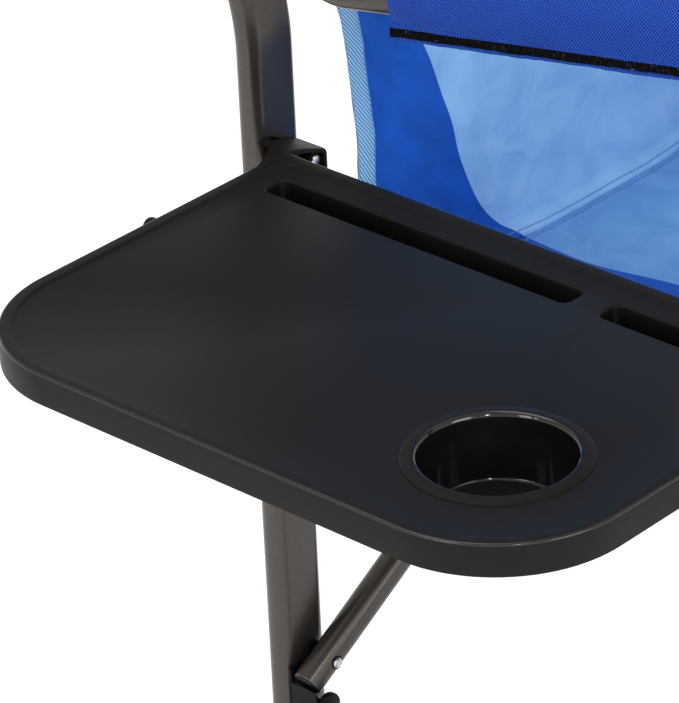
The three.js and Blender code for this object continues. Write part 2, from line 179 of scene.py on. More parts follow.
WEAVE_SLANT = 45  # degrees from the cloth's edge to its rows of dots


def woven(name, shade, body, light, pitch_mm, depth, contrast):
    """Polyester oxford cloth, woven from heavy threads: light dots stand in slanting rows
    where the threads cross; dull, with soft creases. UVs are millimetres and the pitch is
    the spacing of the dots."""
    material, tree, shader = new_material(
        name, Roughness=0.8, Sheen_Weight=0.04, Specular_IOR_Level=0.25)
    place = add_node(tree, "ShaderNodeTexCoord").outputs["UV"]
    slant = add_node(tree, "ShaderNodeMapping", {"Vector": place},
                     {"Rotation": (0, 0, math.radians(WEAVE_SLANT))}).outputs["Vector"]
    # A wave band repeats every 0.314 / scale units.
    scale = 0.314 / pitch_mm
    warp = add_node(tree, "ShaderNodeTexWave", {"Vector": slant},
                    {"Scale": scale, "Distortion": 0.4, "Detail": 1}, bands_direction="X")
    weft = add_node(tree, "ShaderNodeTexWave", {"Vector": slant},
                    {"Scale": scale, "Distortion": 0.4, "Detail": 1}, bands_direction="Y")
    threads = add_node(tree, "ShaderNodeMath", {0: warp.outputs["Fac"], 1: weft.outputs["Fac"]},
                       operation="MULTIPLY")
    # Slow mottling and creases, tens of millimetres across.
    mottle = add_node(tree, "ShaderNodeTexNoise", {"Vector": place},
                      {"Scale": 0.035, "Detail": 3, "Roughness": 0.5, "Distortion": 0.6})
    mixed = add_node(tree, "ShaderNodeMix", {
        "A": mottle.outputs["Fac"], "B": threads.outputs["Value"]}, {"Factor": contrast})
    tone = ramp(tree, mixed.outputs["Result"], [(0.15, shade), (0.45, body), (0.8, light)])
    tree.links.new(tone.outputs["Color"], shader.inputs["Base Color"])
    crease = add_node(tree, "ShaderNodeBump", {"Height": mottle.outputs["Fac"]},
                      {"Strength": 0.5, "Distance": 0.005})
    bump = add_node(tree, "ShaderNodeBump", {
        "Height": threads.outputs["Value"], "Normal": crease.outputs["Normal"]},
        {"Strength": depth, "Distance": 0.0004})
    tree.links.new(bump.outputs["Normal"], shader.inputs["Normal"])
    return material


def ribbed_tape():
    """Woven polyester binding tape: light blue with slanting ribs every 2 mm."""
    material, tree, shader = new_material(
        "ribbed_binding_tape", Roughness=0.7, Sheen_Weight=0.05)
    place = add_node(tree, "ShaderNodeTexCoord").outputs["UV"]
    slant = add_node(tree, "ShaderNodeMapping", {"Vector": place},
                     {"Rotation": (0, 0, math.radians(-56))})
    ribs = add_node(tree, "ShaderNodeTexWave", {"Vector": slant.outputs["Vector"]},
                    {"Scale": 0.314 / 1.9, "Distortion": 0.8, "Detail": 1}, bands_direction="Y")
    fuzz = add_node(tree, "ShaderNodeTexNoise", {"Vector": place}, {"Scale": 0.8, "Detail": 3})
    mixed = add_node(tree, "ShaderNodeMix", {
        "A": ribs.outputs["Fac"], "B": fuzz.outputs["Fac"]}, {"Factor": 0.3})
    tone = ramp(tree, mixed.outputs["Result"],
                [(0.2, "3A7AC0"), (0.5, "72AFE2"), (0.8, "A8D4F6")])
    tree.links.new(tone.outputs["Color"], shader.inputs["Base Color"])
    bump = add_node(tree, "ShaderNodeBump", {"Height": ribs.outputs["Fac"]},
                    {"Strength": 0.7, "Distance": 0.0008})
    tree.links.new(bump.outputs["Normal"], shader.inputs["Normal"])
    return material


def hook_tape():
    """Hook-and-loop tape: black nylon pile, matte and lint-flecked."""
    material, tree, shader = new_material(
        "hook_and_loop_tape", Roughness=0.95, Specular_IOR_Level=0.1)
    place = add_node(tree, "ShaderNodeTexCoord").outputs["Object"]
    pile = add_node(tree, "ShaderNodeTexVoronoi", {"Vector": place}, {"Scale": 1100})
    lint = add_node(tree, "ShaderNodeTexNoise", {"Vector": place}, {"Scale": 420, "Detail": 4})
    tone = ramp(tree, lint.outputs["Fac"], [(0.48, "040405"), (0.6, "090A0F"), (0.72, "2C3654")])
    tree.links.new(tone.outputs["Color"], shader.inputs["Base Color"])
    bump = add_node(tree, "ShaderNodeBump", {"Height": pile.outputs["Distance"]},
                    {"Strength": 0.8, "Distance": 0.0008})
    tree.links.new(bump.outputs["Normal"], shader.inputs["Normal"])
    return material


def zinc_steel():
    """Zinc-plated steel fastener: bright, a little cloudy from handling."""
    material, tree, shader = new_material("zinc_plated_steel", Metallic=1, Roughness=0.28)
    place = add_node(tree, "ShaderNodeTexCoord").outputs["Object"]
    cloud = add_node(tree, "ShaderNodeTexNoise", {"Vector": place}, {"Scale": 300, "Detail": 4})
    tone = ramp(tree, cloud.outputs["Fac"], [(0.3, "A9ABAE"), (0.7, "D9DADC")])
    tree.links.new(tone.outputs["Color"], shader.inputs["Base Color"])
    rough = add_node(tree, "ShaderNodeMapRange", {"Value": cloud.outputs["Fac"]},
                     {"To Min": 0.2, "To Max": 0.4})
    tree.links.new(rough.outputs["Result"], shader.inputs["Roughness"])
    return material


def sewing_thread():
    """Twisted polyester sewing thread: mid blue with a slight shine."""
    material, tree, shader = new_material("sewing_thread", Roughness=0.55, Sheen_Weight=0.3)
    place = add_node(tree, "ShaderNodeTexCoord").outputs["Object"]
    twist = add_node(tree, "ShaderNodeTexNoise", {"Vector": place}, {"Scale": 900, "Detail": 2})
    tone = ramp(tree, twist.outputs["Fac"], [(0.3, "3F74BE"), (0.7, "5F93D6")])
    tree.links.new(tone.outputs["Color"], shader.inputs["Base Color"])
    return material


PAINT = powder_coat()
# The tray is grained all over but for its top edge, rubbed smooth by use, and its glossy cup.
TRAY_PP = moulded("tray_polypropylene", "171514", "1B1918", 0.45, 0.9, 0.26)
EDGE_PP = moulded("rubbed_edge_polypropylene", "1B1A19", "232221", 0.17, 2, 0.05, 0.6)
CUP_PP = moulded("polished_cup_polypropylene", "0D0D0D", "141414", 0.09, 3, 0.02, 0.7)
NYLON = moulded("black_nylon_fitting", "0A0A0B", "101012", 0.4, 1.2, 0.2)
ROYAL = woven("royal_blue_oxford", "00449F", "0050BC", "1466D4", 1.35, 0.4, 0.35)
SKY = woven("sky_blue_oxford", "6FA4DC", "80B3EA", "92C2F2", 1.35, 0.1, 0.12)
# The seat's light-blue middle has a darker copy of the sky-blue cloth: painted shade for the shade
# the back and the arms cast on the seat.
SHADED_SEAT_SKY = woven("shaded_seat_sky_blue_oxford", "588ECA", "669CD9", "78ACE4", 1.35, 0.1, 0.12)
PAD_CLOTH = woven("pad_oxford", "03227A", "0A56D0", "2E7CF4", 1.5, 0.9, 0.85)
TAPE = ribbed_tape()
HOOK = hook_tape()
ZINC = zinc_steel()
THREAD = sewing_thread()


# ---- mesh helpers ---------------------------------------------------------
def finish_piece(name, bm, materials, body, slot, stands_for=(), smooth=40, solid=None):
    """The bmesh, in chair millimetres, becomes a piece in the row frame on a body."""
    bmesh.ops.remove_doubles(bm, verts=bm.verts, dist=0.002)
    bmesh.ops.recalc_face_normals(bm, faces=bm.faces)
    bmesh.ops.transform(bm, matrix=TO_ROW, verts=bm.verts)
    mesh = bpy.data.meshes.new(name)
    bm.to_mesh(mesh)
    bm.free()
    piece = bpy.data.objects.new(name, mesh)
    bpy.context.scene.collection.objects.link(piece)
    for material in materials if isinstance(materials, (list, tuple)) else [materials]:
        mesh.materials.append(material)
    mesh.shade_smooth()
    mesh.set_sharp_from_angle(angle=math.radians(smooth))
    if solid:
        thick = piece.modifiers.new("cloth_thickness", "SOLIDIFY")
        thick.thickness = solid / 1000
        thick.offset = 0
    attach(piece, body)
    if stands_for:
        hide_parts(*([stands_for] if isinstance(stands_for, str) else stands_for))
    return piece


def nylon(name, bm, body, *rest):
    """A fitting of black nylon."""
    return finish_piece(name, bm, NYLON, body, "black_plastic", *rest)


def painted(name, bm, body, *rest):
    """A powder-coated steel tube or rod."""
    return finish_piece(name, bm, PAINT, body, "frame_paint", *rest)


def skin(bm, at, around, along, closed=True, cap=(False, False)):
    """A grid bent into a surface: at(i, j) is the point of column i and row j.
    A closed skin meets itself after the last column. cap closes its two ends."""
    layer = bm.loops.layers.uv.verify()
    old = set(bm.verts)
    bmesh.ops.create_grid(bm, x_segments=around, y_segments=along, size=1)
    verts = [v for v in bm.verts if v not in old]
    index = {v: (round((v.co.x + 1) / 2 * around), round((v.co.y + 1) / 2 * along))
             for v in verts}
    where = {ij: Vector(at(ij[0] % around if closed else ij[0], ij[1])) for ij in index.values()}
    run = {}
    for j in range(along + 1):
        for i in range(around + 1):
            step = (where[i, j] - where[i - 1, j]).length if i else 0
            lift = (where[i, j] - where[i, j - 1]).length if j else 0
            run[i, j] = (run[i - 1, j][0] + step if i else 0, run[i, j - 1][1] + lift if j else 0)
    faces = {f for v in verts for f in v.link_faces}
    for face in faces:
        for loop in face.loops:
            loop[layer].uv = run[index[loop.vert]]
    for v in verts:
        v.co = where[index[v]]
    rows = {}
    if cap[0] or cap[1]:
        for v in verts:
            rows.setdefault(index[v][1], []).append(v)
    if closed:
        bmesh.ops.remove_doubles(bm, verts=verts, dist=0.001)
    for wanted, j in ((cap[0], 0), (cap[1], along)):
        if wanted:
            ring = [v for v in rows[j] if v.is_valid]
            edges = {e for v in ring for e in v.link_edges
                     if e.is_boundary and e.other_vert(v) in ring}
            bmesh.ops.contextual_create(bm, geom=list(edges))
    return [f for f in faces if f.is_valid]


def rounded(a, b, r, n=6):
    """Outline of a rounded rectangle: half sizes a and b, corner radius r."""
    points = []
    for sx, sy, start in ((1, 1, 0), (-1, 1, 90), (-1, -1, 180), (1, -1, 270)):
        for k in range(n + 1):
            t = math.radians(start + 90 * k / n)
            points.append((sx * (a - r) + r * math.cos(t), sy * (b - r) + r * math.sin(t)))
    return points


def arc(centre, radius, start, end, n):
    """Points (u, w) round a centre, from angle start to end in degrees."""
    turns = [math.radians(start + (end - start) * k / n) for k in range(n + 1)]
    return [(centre[0] + radius * math.cos(t), centre[1] + radius * math.sin(t)) for t in turns]


def tube(bm, x, stations, outline, cap=(True, True)):
    """Sweeps an outline (across, upright) along stations (y, z, heading) at one x."""
    def at(i, j):
        y, z, heading = stations[j]
        h = math.radians(heading)
        u, w = outline(j)[i] if callable(outline) else outline[i]
        return x + u, y + w * math.cos(h), z - w * math.sin(h)
    count = len(outline(0)) if callable(outline) else len(outline)
    return skin(bm, at, count, len(stations) - 1, cap=cap)


def rod(bm, a, b, r, sides=32, edge=0.6):
    """A straight round rod or tube from a to b with softly rounded ends."""
    a, b = Vector(a), Vector(b)
    along = (b - a).normalized()
    turn = along.to_track_quat("Z", "Y").to_matrix()
    length = (b - a).length
    steps = [(0, r - edge), (edge * 0.3, r - edge * 0.3), (edge, r),
             (length - edge, r), (length - edge * 0.3, r - edge * 0.3), (length, r - edge)]

    def at(i, j):
        t = 2 * math.pi * i / sides
        d, radius = steps[j]
        return a + turn @ Vector((radius * math.cos(t), radius * math.sin(t), d))
    return skin(bm, at, sides, len(steps) - 1, cap=(True, True))


def block(bm, x, y, z, bevel):
    """A box from low to high on each axis with rounded edges."""
    made = bmesh.ops.create_cube(bm, size=1)["verts"]
    size = Vector((x[1] - x[0], y[1] - y[0], z[1] - z[0]))
    bmesh.ops.scale(bm, vec=size, verts=made)
    bmesh.ops.translate(
        bm, vec=((x[0] + x[1]) / 2, (y[0] + y[1]) / 2, (z[0] + z[1]) / 2), verts=made)
    edges = list({e for v in made for e in v.link_edges})
    bmesh.ops.bevel(bm, geom=edges, offset=bevel, segments=3, profile=0.5,
                    affect="EDGES", material=-1)


def dome(bm, centre, axis, radius, height, sides=24):
    """A round head that rises from its rim by height along axis."""
    turn = Vector(axis).normalized().to_track_quat("Z", "Y").to_matrix()
    profile = [(radius, 0), (radius, height * 0.25)]
    profile += [(radius * math.cos(math.radians(a)),
                 height * (0.25 + 0.75 * math.sin(math.radians(a)))) for a in (25, 50, 70, 84)]

    def at(i, j):
        t = 2 * math.pi * i / sides
        r, h = profile[j]
        return Vector(centre) + turn @ Vector((r * math.cos(t), r * math.sin(t), h))
    skin(bm, at, sides, len(profile) - 1, cap=(True, True))


# ---- side frames ----------------------------------------------------------
def bend(y, z, start, end, radius, steps):
    """Stations round a bend that starts at (y, z), from one heading to another."""
    turn = 1 if end > start else -1
    h0 = math.radians(start)
    cy, cz = y + turn * radius * math.cos(h0), z - turn * radius * math.sin(h0)
    stations = []
    for k in range(steps + 1):
        h = start + (end - start) * k / steps
        stations.append((cy - turn * radius * math.cos(math.radians(h)),
                         cz + turn * radius * math.sin(math.radians(h)), h))
    return stations


lean_bend = bend(POST_Y, BEND_Z, 0, LEAN, BEND_R, 8)


def back_y(z):
    """Middle of the leaning back post at a height."""
    y, start, _ = lean_bend[-1]
    return y + (z - start) * math.tan(math.radians(LEAN))


def arm_z(y):
    """Middle of the arm tube's straight part."""
    return ARM[1] + (ARM[0] - y) * (ARM[3] - ARM[1]) / (ARM[0] - ARM[2])


arm_heading = math.degrees(math.atan2(ARM[0] - ARM[2], ARM[1] - ARM[3]))


def arm_stations():
    """The front post bends into the arm, which dips at its rear end to meet the back post."""
    radius, dip_radius, tail = 70, 45, 38
    h = math.radians(arm_heading)
    y = -POST_Y + radius - radius * math.cos(h)
    front = bend(-POST_Y, arm_z(y) - radius * math.sin(h), 0, arm_heading, radius, 16)
    dip = bend(ARM[0], ARM[1], arm_heading, 40, dip_radius, 12)
    y, z, heading = dip[-1]
    h = math.radians(heading)
    end = (y + tail * math.sin(h), z + tail * math.cos(h))
    return [(-POST_Y, FOOT_TOP, 0)] + front + dip + [(*end, heading)]


def make_posts():
    outline = rounded(*OVAL)
    rail_z, rail_r, half = SIDE_RAIL
    for side, s in SIDES:
        bm = bmesh.new()
        top = (back_y(TOP_Z - 8), TOP_Z - 8, LEAN)
        tube(bm, s * POST_X, [(POST_Y, FOOT_TOP, 0)] + lean_bend + [top], outline)
        painted(f"rear_post_tube_{side}", bm, f"{side}_frame", f"rear_post_{side}")
        bm = bmesh.new()
        tube(bm, s * POST_X, arm_stations(), outline)
        painted(f"front_post_arm_tube_{side}", bm, f"{side}_frame", f"front_post_arm_{side}")
        bm = bmesh.new()
        rod(bm, (s * POST_X, -half, rail_z), (s * POST_X, half, rail_z), rail_r)
        painted(f"side_rail_tube_{side}", bm, f"{side}_frame", f"side_rail_{side}")


def make_caps():
    for side, s in SIDES:
        bm = bmesh.new()
        stations = [(back_y(z), z, LEAN) for z in (TOP_Z - 7.2, TOP_Z - 4, TOP_Z - 1.6, TOP_Z)]
        sizes = [rounded(19, 9.5, 8.2), rounded(19, 9.5, 8.2), rounded(18, 8.6, 7.4),
                 rounded(15.5, 6.6, 5.6)]
        tube(bm, s * POST_X, stations, lambda j: sizes[j])
        nylon(f"post_plug_{side}", bm, f"{side}_frame", f"post_cap_{side}")
        for end, e in ENDS:
            bm = bmesh.new()
            rings = [(0, 3), (1.2, 1), (3, 0), (11, 0.6), (13, 1.2), (14, 2.6)]
            tube(bm, s * POST_X, [(e * POST_Y, z, 0) for z, _ in rings],
                 lambda j: rounded(22 - rings[j][1], 12.5 - rings[j][1], 10 - rings[j][1] / 2))
            nylon(f"foot_{end}_{side}", bm, f"{side}_frame", f"foot_cap_{end}_{side}")


def make_pivot_blocks():
    """Moulded block on each post: a cradle under the end of a scissor leg, a back plate, a
    bolt cap and a spacer between leg and plate."""
    for side, s in SIDES:
        for end, e in ENDS:
            rim = arc((-PIVOT[0], PIVOT[1]), BLOCK["r"], 209.5, 250, 10)
            rim = [(-s * x, z) for x, z in rim]
            outer, inner, low = s * BLOCK["outer"], s * BLOCK["inner"], BLOCK["low"]
            outline = [(outer, rim[0][1])] + rim + [(inner, 120), (inner, low), (outer, low)]
            near, far = e * BLOCK["face"], e * (POST_Y - OVAL[1] - 0.35)
            depth = [(near, 1.4), (near + e * 0.5, 0.4), (near + e * 1.4, 0), (far, 0)]
            mid = Vector((s * 274, 108))

            def at(i, j):
                y, inset = depth[j]
                x, z = Vector(outline[i]).lerp(mid, inset / 30)
                return x, y, z
            bm = bmesh.new()
            skin(bm, at, len(outline), len(depth) - 1, cap=(True, True))
            nylon(f"pivot_cradle_{end}_{side}", bm, f"{side}_frame", f"pivot_block_{end}_{side}")
            bm = bmesh.new()
            block(bm, sorted((s * 268, outer)), sorted((e * 230.5, far)), (low, 147.5), 0.6)
            nylon(f"pivot_plate_{end}_{side}", bm, f"{side}_frame")
            bm = bmesh.new()
            x, z = s * BOLT_CAP["x"], BOLT_CAP["z"]
            front = e * (BLOCK["face"] - BOLT_CAP["out"][side])
            rod(bm, (x, front, z), (x, near + e * 0.4, z), BOLT_CAP["r"], edge=1.6)
            nylon(f"block_bolt_cap_{end}_{side}", bm, f"{side}_frame")
            bm = bmesh.new()
            leg_face = (LEG_Y["a"] if s < 0 else LEG_Y["b"]) + LEG_R + 0.2
            rod(bm, (s * PIVOT[0], e * leg_face, PIVOT[1]), (s * PIVOT[0], far, PIVOT[1]), 8, 24, 0.3)
            nylon(f"leg_spacer_{end}_{side}", bm, f"{side}_frame")


def make_arm_brackets():
    for side, _ in SIDES:
        low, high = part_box(f"arm_bracket_{side}")
        a, b = (low - CENTRE) * 1000, (high - CENTRE) * 1000
        bm = bmesh.new()
        block(bm, (a.x, b.x), (a.y, b.y), (a.z, b.z), 2.5)
        nylon(f"arm_end_bracket_{side}", bm, f"{side}_frame", f"arm_bracket_{side}")


# ---- scissor legs ---------------------------------------------------------
def make_legs():
    reach = (RAIL[1] - PIVOT[1]) / math.sin(SLOPE) - RAIL[2] - 1
    for leg, s in (("a", -1), ("b", 1)):
        for end, e in ENDS:
            y = e * LEG_Y[leg]

            def at(d):
                return (s * (PIVOT[0] - d * math.cos(SLOPE)), y, PIVOT[1] + d * math.sin(SLOPE))
            bm = bmesh.new()
            rod(bm, at(-21.4), at(reach - 0.6), LEG_R, edge=0.8)
            painted(f"scissor_tube_{leg}_{end}", bm, f"legs_{leg}", f"leg_{leg}_{end}")
            for where, a, b in (("foot", -22, -21), ("head", reach - 0.6, reach)):
                bm = bmesh.new()
                rod(bm, at(a), at(b), LEG_R - 1.2, edge=0.3)
                nylon(f"leg_plug_{leg}_{end}_{where}", bm, f"legs_{leg}")
            # Domed rivet on a dark washer, on the side away from the post.
            face = y - e * (LEG_R - 0.15)
            bm = bmesh.new()
            dome(bm, (s * PIVOT[0], face, PIVOT[1]), (0, -e, 0), 3.7, 2)
            finish_piece(f"pivot_rivet_{leg}_{end}", bm, ZINC, f"legs_{leg}", "fastener",
                         f"leg_rivet_{leg}_{end}")
            bm = bmesh.new()
            rod(bm, (s * PIVOT[0], face + e * 1.2, PIVOT[1]),
                (s * PIVOT[0], face - e * 0.4, PIVOT[1]), 4.7, 24, 0.3)
            nylon(f"rivet_washer_{leg}_{end}", bm, f"legs_{leg}")
    cross_z = PIVOT[1] + PIVOT[0] * math.tan(SLOPE)
    for end, e in ENDS:
        bm = bmesh.new()
        rod(bm, (0, e * 207.4, cross_z), (0, e * 209.6, cross_z), 9, 32, 0.5)
        nylon(f"cross_spacer_{end}", bm, "legs_a", f"cross_washer_{end}")
        bm = bmesh.new()
        dome(bm, (0, e * 186.8, cross_z), (0, -e, 0), 6, 3.6, 6)
        finish_piece(f"cross_bolt_head_{end}", bm, ZINC, "legs_a", "fastener",
                     f"cross_bolt_{end}")


# ---- seat -----------------------------------------------------------------
def sag(x):
    """Height of the seat cloth's middle at a distance from the chair's middle."""
    return SEAT["edge"] - SEAT["sag"] * (1 - (abs(x) / RAIL[0]) ** SEAT["power"])


def fold(x, y, z, size):
    """Soft wrinkles: low, broad waves with a finer set over them."""
    broad = noise.noise(Vector((x / 75, y / 120, z / 95)))
    fine = noise.noise(Vector((x / 26 + 7, y / 40, z / 34)))
    return size * (broad + 0.35 * fine)


def pulled(x, reach):
    """How far the back cloth pulls the seat up, at a distance from the edge sewn to it:
    that edge hangs flatter than the rest of the seat."""
    edge = SEAT["edge"] - SEWN_SAG * (1 - (abs(x) / RAIL[0]) ** SEWN_POWER)
    return max(0, edge - sag(x)) * max(0, 1 - max(0, reach) / 90) ** 2


def seat_z(x, y, z):
    """Height with the seat's wrinkles, which die out at the rails and at the back seam."""
    reach = SEAT["y1"] - y
    calm = min(1, (RAIL[0] - min(abs(x), RAIL[0])) / 60) * min(1, 0.1 + reach / 30)
    return z + fold(x, y, 0, 2.2) * calm + pulled(x, reach)


def hang(x, z):
    """Vertical folds of the slack back cloth, with creases that run out to its edges."""
    soft = noise.noise(Vector((x / 30, z / 120, 5)))
    crease = 1 - 2 * abs(noise.noise(Vector(((x + 0.7 * z) / 38, z / 90, 9))))
    return 3.2 * soft + 2.4 * crease * crease


SEAT_INSET = (64, 15)  # half width of the light-blue middle, and how much it flares at its ends
WRAP_R = 15.5  # the seat cloth round its rails
SEAT_HALF = 33  # columns each side of the middle


def inset_half(y):
    """Half width of the seat's light-blue middle."""
    share = max(0, min(1, (abs(y) - 80) / 80))
    return SEAT_INSET[0] + SEAT_INSET[1] * share * share * (3 - 2 * share)


def seat_point(i, y):
    """Point i across the seat cloth, from outside one rail to outside the other."""
    s, k = (1, i - SEAT_HALF) if i >= SEAT_HALF else (-1, SEAT_HALF - i)
    inset, edge = inset_half(y), 184
    if k <= 10:
        x = inset * k / 10
    elif k <= 24:
        x = inset + (edge - inset) * (k - 10) / 14
    else:
        t = math.radians(105 - (k - 24) * 15)
        return s * (RAIL[0] + WRAP_R * math.cos(t)), RAIL[1] + WRAP_R * math.sin(t)
    return s * x, sag(x)


def make_seat():
    rows, count = 48, 2 * SEAT_HALF
    y0, y1 = SEAT["y0"], SEAT["y1"]

    def at(i, j):
        y = y0 + (y1 - y0) * j / rows
        x, z = seat_point(i, y)
        return x, y, seat_z(x, y, z)
    bm = bmesh.new()
    faces = skin(bm, at, count, rows, closed=False)
    # The light-blue middle takes the darker copy of the sky-blue cloth: painted shade.
    for face in faces:
        centre = face.calc_center_median()
        face.material_index = 1 if abs(centre.x) < inset_half(centre.y) - 0.01 else 0
    seat = finish_piece("seat_cloth", bm, [ROYAL, SHADED_SEAT_SKY], "right_rail", "sky_cloth", "seat_panel",
                        solid=1.8)
    section = [seat_point(i, 0) for i in range(count + 1)]
    across = sum(math.dist(a, b) for a, b in zip(section, section[1:])) / 1000
    round_rail, length = 11.4, 368  # the sleeve's radius and length
    for side, s in SIDES:
        bm = bmesh.new()
        x, z, radius, half = RAIL
        rod(bm, (s * x, -half, z), (s * x, half, z), radius)
        painted(f"seat_rail_tube_{side}", bm, f"{side}_rail", f"seat_rail_{side}")
        bm = bmesh.new()
        skin(bm, lambda i, j: (
            s * x + round_rail * math.cos(i * math.pi / 16), length * (j / 24 - 0.5),
            z + round_rail * math.sin(i * math.pi / 16)), 32, 24)
        sleeve = finish_piece(f"seat_sleeve_cloth_{side}", bm, ROYAL, f"{side}_rail",
                              "royal_cloth", f"seat_sleeve_{side}", solid=1.4)
    return seat, across


# ---- back -----------------------------------------------------------------
BACK_LINE = [(380, 211), (430, 212), (500, 214), (570, 218), (630, 230)]  # z, y
BACK_TOP = TOP_Z - 12
# Half widths of the back cloth and of its light-blue inset: z, x.
BACK_EDGE = [(370, 198), (430, 212), (464, 219), (500, 216.5), (540, 219), (580, 221),
             (600, 223), (640, 236), (700, 249), (950, 251)]
INSET_EDGE = [(374, 68), (382, 79), (391, 91), (404, 104), (414, 112), (436, 121), (459, 128),
              (482, 133), (497, 138), (513, 143), (529, 149), (545, 156), (600, 168), (900, 176)]


def along_points(points, z):
    """Value at a height on a line of (height, value) points, smoothed at its corners."""
    def straight(h):
        for (z0, v0), (z1, v1) in zip(points, points[1:]):
            if h <= z1:
                return v0 + (v1 - v0) * max(0, h - z0) / (z1 - z0)
        return points[-1][1]
    return sum(straight(z + d) for d in (-9, -4, 0, 4, 9)) / 5


def cloth_y(z):
    """Middle of the back cloth, seen from the side."""
    low = along_points(BACK_LINE, z)
    share = max(0, min(1, (z - BACK_LINE[-1][0]) / 60))
    return low + share * (back_y(z) - 12 - low)


def make_back():
    """The back cloth, and the function that places its points: u runs from -1 to 1 across
    it and t from 0 to 1 up it."""
    columns = [-1 + k * 0.5 / 10 for k in range(10)]
    columns += [-0.5 + k / 30 for k in range(31)] + [0.5 + k * 0.5 / 10 for k in range(1, 11)]
    rows = 90

    def spot(u, t):
        low = sag(u * RAIL[0]) + pulled(u * RAIL[0], 0) - 1.2
        z = low + (BACK_TOP - low) * t ** 1.4
        edge, inset = along_points(BACK_EDGE, z), along_points(INSET_EDGE, z)
        size = abs(u)
        if size <= 0.5:
            x = inset * size / 0.5
        else:
            x = inset + (edge - inset) * (size - 0.5) / 0.5
        calm = min(1, t * 6) * min(1, (1 - size) * 6 + 0.25)
        x = math.copysign(x, u)
        y = cloth_y(z) + (fold(x, 50, z, 5) + hang(x, z)) * calm
        # The lowest part turns forward on to the seat.
        turn = max(0, min(1, 1 - (z - low - 3) / 8))
        y -= 7 * turn * turn
        return x, y, z
    bm = bmesh.new()
    faces = skin(bm, lambda i, j: spot(columns[i], j / rows), len(columns) - 1, rows,
                 closed=False)
    for face in faces:
        centre = face.calc_center_median()
        inside = abs(centre.x) < along_points(INSET_EDGE, centre.z) - 0.01
        face.material_index = 1 if inside else 0
    back = finish_piece("back_cloth", bm, [ROYAL, SKY], "right_frame", "sky_cloth", "back_panel",
                        solid=1.8)
    return back, spot


def make_back_sleeves():
    for side, s in SIDES:
        bm = bmesh.new()
        rows = 26
        heights = [SLEEVE_Z + (BACK_TOP - SLEEVE_Z) * j / rows for j in range(rows + 1)]
        stations = [(back_y(z), z, LEAN) for z in heights]
        outline = rounded(20.6, 11.2, 9.4, 7)
        tube(bm, s * POST_X, stations, outline, cap=(False, False))
        sleeve = finish_piece(f"back_sleeve_cloth_{side}", bm, ROYAL, f"{side}_frame",
                              "royal_cloth", f"back_sleeve_{side}", solid=1.6)


def make_binding():
    """Tape folded over each free edge of the back cloth, puckered by its row of stitches;
    both tapes ride on the same body as the cloth."""
    made = []
    half = 7  # of the tape's width
    for side, s in SIDES:
        rows = 150
        z0, z1 = 428, SLEEVE_Z

        def at(i, j):
            z = z0 + (z1 - z0) * j / rows
            pucker = 0.25 * math.sin(z / 3.1) + 0.8 * noise.noise(Vector((z / 22, 3, 1)))
            x = along_points(BACK_EDGE, z) - half + 0.8 + 0.5 * pucker
            u, w = rounded(half, 1.7, 1.6, 3)[i]
            return s * (x + u), cloth_y(z) + w + 0.5 * pucker, z
        bm = bmesh.new()
        skin(bm, at, 16, rows, cap=(True, True))
        made.append(finish_piece(f"edge_binding_{side}", bm, TAPE, "right_frame", "sky_cloth"))
        heights = [z0 + 2 + 4 * k for k in range(67)]
        points = [(s * (along_points(BACK_EDGE, z) - 11.6), cloth_y(z) - 1.9, z) for z in heights]
        made.append(stitches(f"binding_stitches_{side}", points, 3.6, 2.3, 0.7, "right_frame"))
    return made


def stitches(name, points, pitch, length, width, body):
    """A row of small raised stitches along a list of points."""
    bm = bmesh.new()
    left = 0
    for a, b in zip(points, points[1:]):
        a, b = Vector(a), Vector(b)
        step = (b - a).length
        while left < step:
            centre = a.lerp(b, left / step)
            turn = (b - a).to_track_quat("X", "Z").to_matrix().to_4x4()
            made = bmesh.ops.create_cube(bm, size=1)["verts"]
            bmesh.ops.scale(bm, vec=(length, width, width * 0.8), verts=made)
            bmesh.ops.transform(bm, matrix=Matrix.Translation(centre) @ turn, verts=made)
            left += pitch
        left -= step
    return finish_piece(name, bm, THREAD, body, "sky_cloth")


def make_seam(back_spot):
    """Two rows of stitches where the back cloth is sewn to the seat."""
    on_seat, on_back = [], []
    for k in range(121):
        u = -0.9 + 0.015 * k
        x, y, z = back_spot(u, 0.034)
        on_back.append((x, y - 1.3, z + 0.4))
        x, y = RAIL[0] * u, SEAT["y1"] - 9
        on_seat.append((x, y, seat_z(x, y, sag(x)) + 1.2))
    return [stitches("seam_stitches_0", on_seat, 3.4, 2.2, 0.75, "right_rail"),
            stitches("seam_stitches_1", on_back, 3.4, 2.2, 0.75, "right_frame")]


# ---- arm pads -------------------------------------------------------------
def make_pads():
    rows = 72
    for side, s in SIDES:
        def section(j):
            share = j / rows
            y = PAD["y1"] + (PAD["y0"] - PAD["y1"]) * share
            end = min(1, share * 16, (1 - share) * 16)
            puff = 1 - 0.09 * (1 - end) ** 2
            w, top, low = PAD["half"] * puff, PAD["above"] * puff, -PAD["below"]
            points = [(-w + 1, low + 1)] + [(-w, low + 5)]
            points += [(-w, top - 15), (-w + 1.2, top - 9), (-w + 4, top - 4.6),
                       (-w + 8.5, top - 1.8), (-w + 14, top - 0.4), (-5, top)]
            points += [(-u, z) for u, z in reversed(points)]
            closed = []
            for u, z in points:
                swell = fold(u * 3 + 400 * s, y, z * 3, 0.9)
                closed.append((u * (1 + swell / 30), -(z + (swell if z > 0 else 0))))
            return closed
        stations = []
        for j in range(rows + 1):
            y = PAD["y1"] + (PAD["y0"] - PAD["y1"]) * j / rows
            stations.append((y, arm_z(y), arm_heading))
        bm = bmesh.new()
        tube(bm, s * POST_X, stations, section)
        pad = finish_piece(f"arm_pad_sleeve_{side}", bm, PAD_CLOTH, f"{side}_frame", "pad_cloth",
                           f"arm_pad_{side}", smooth=60)
        make_pad_edge(side, s)


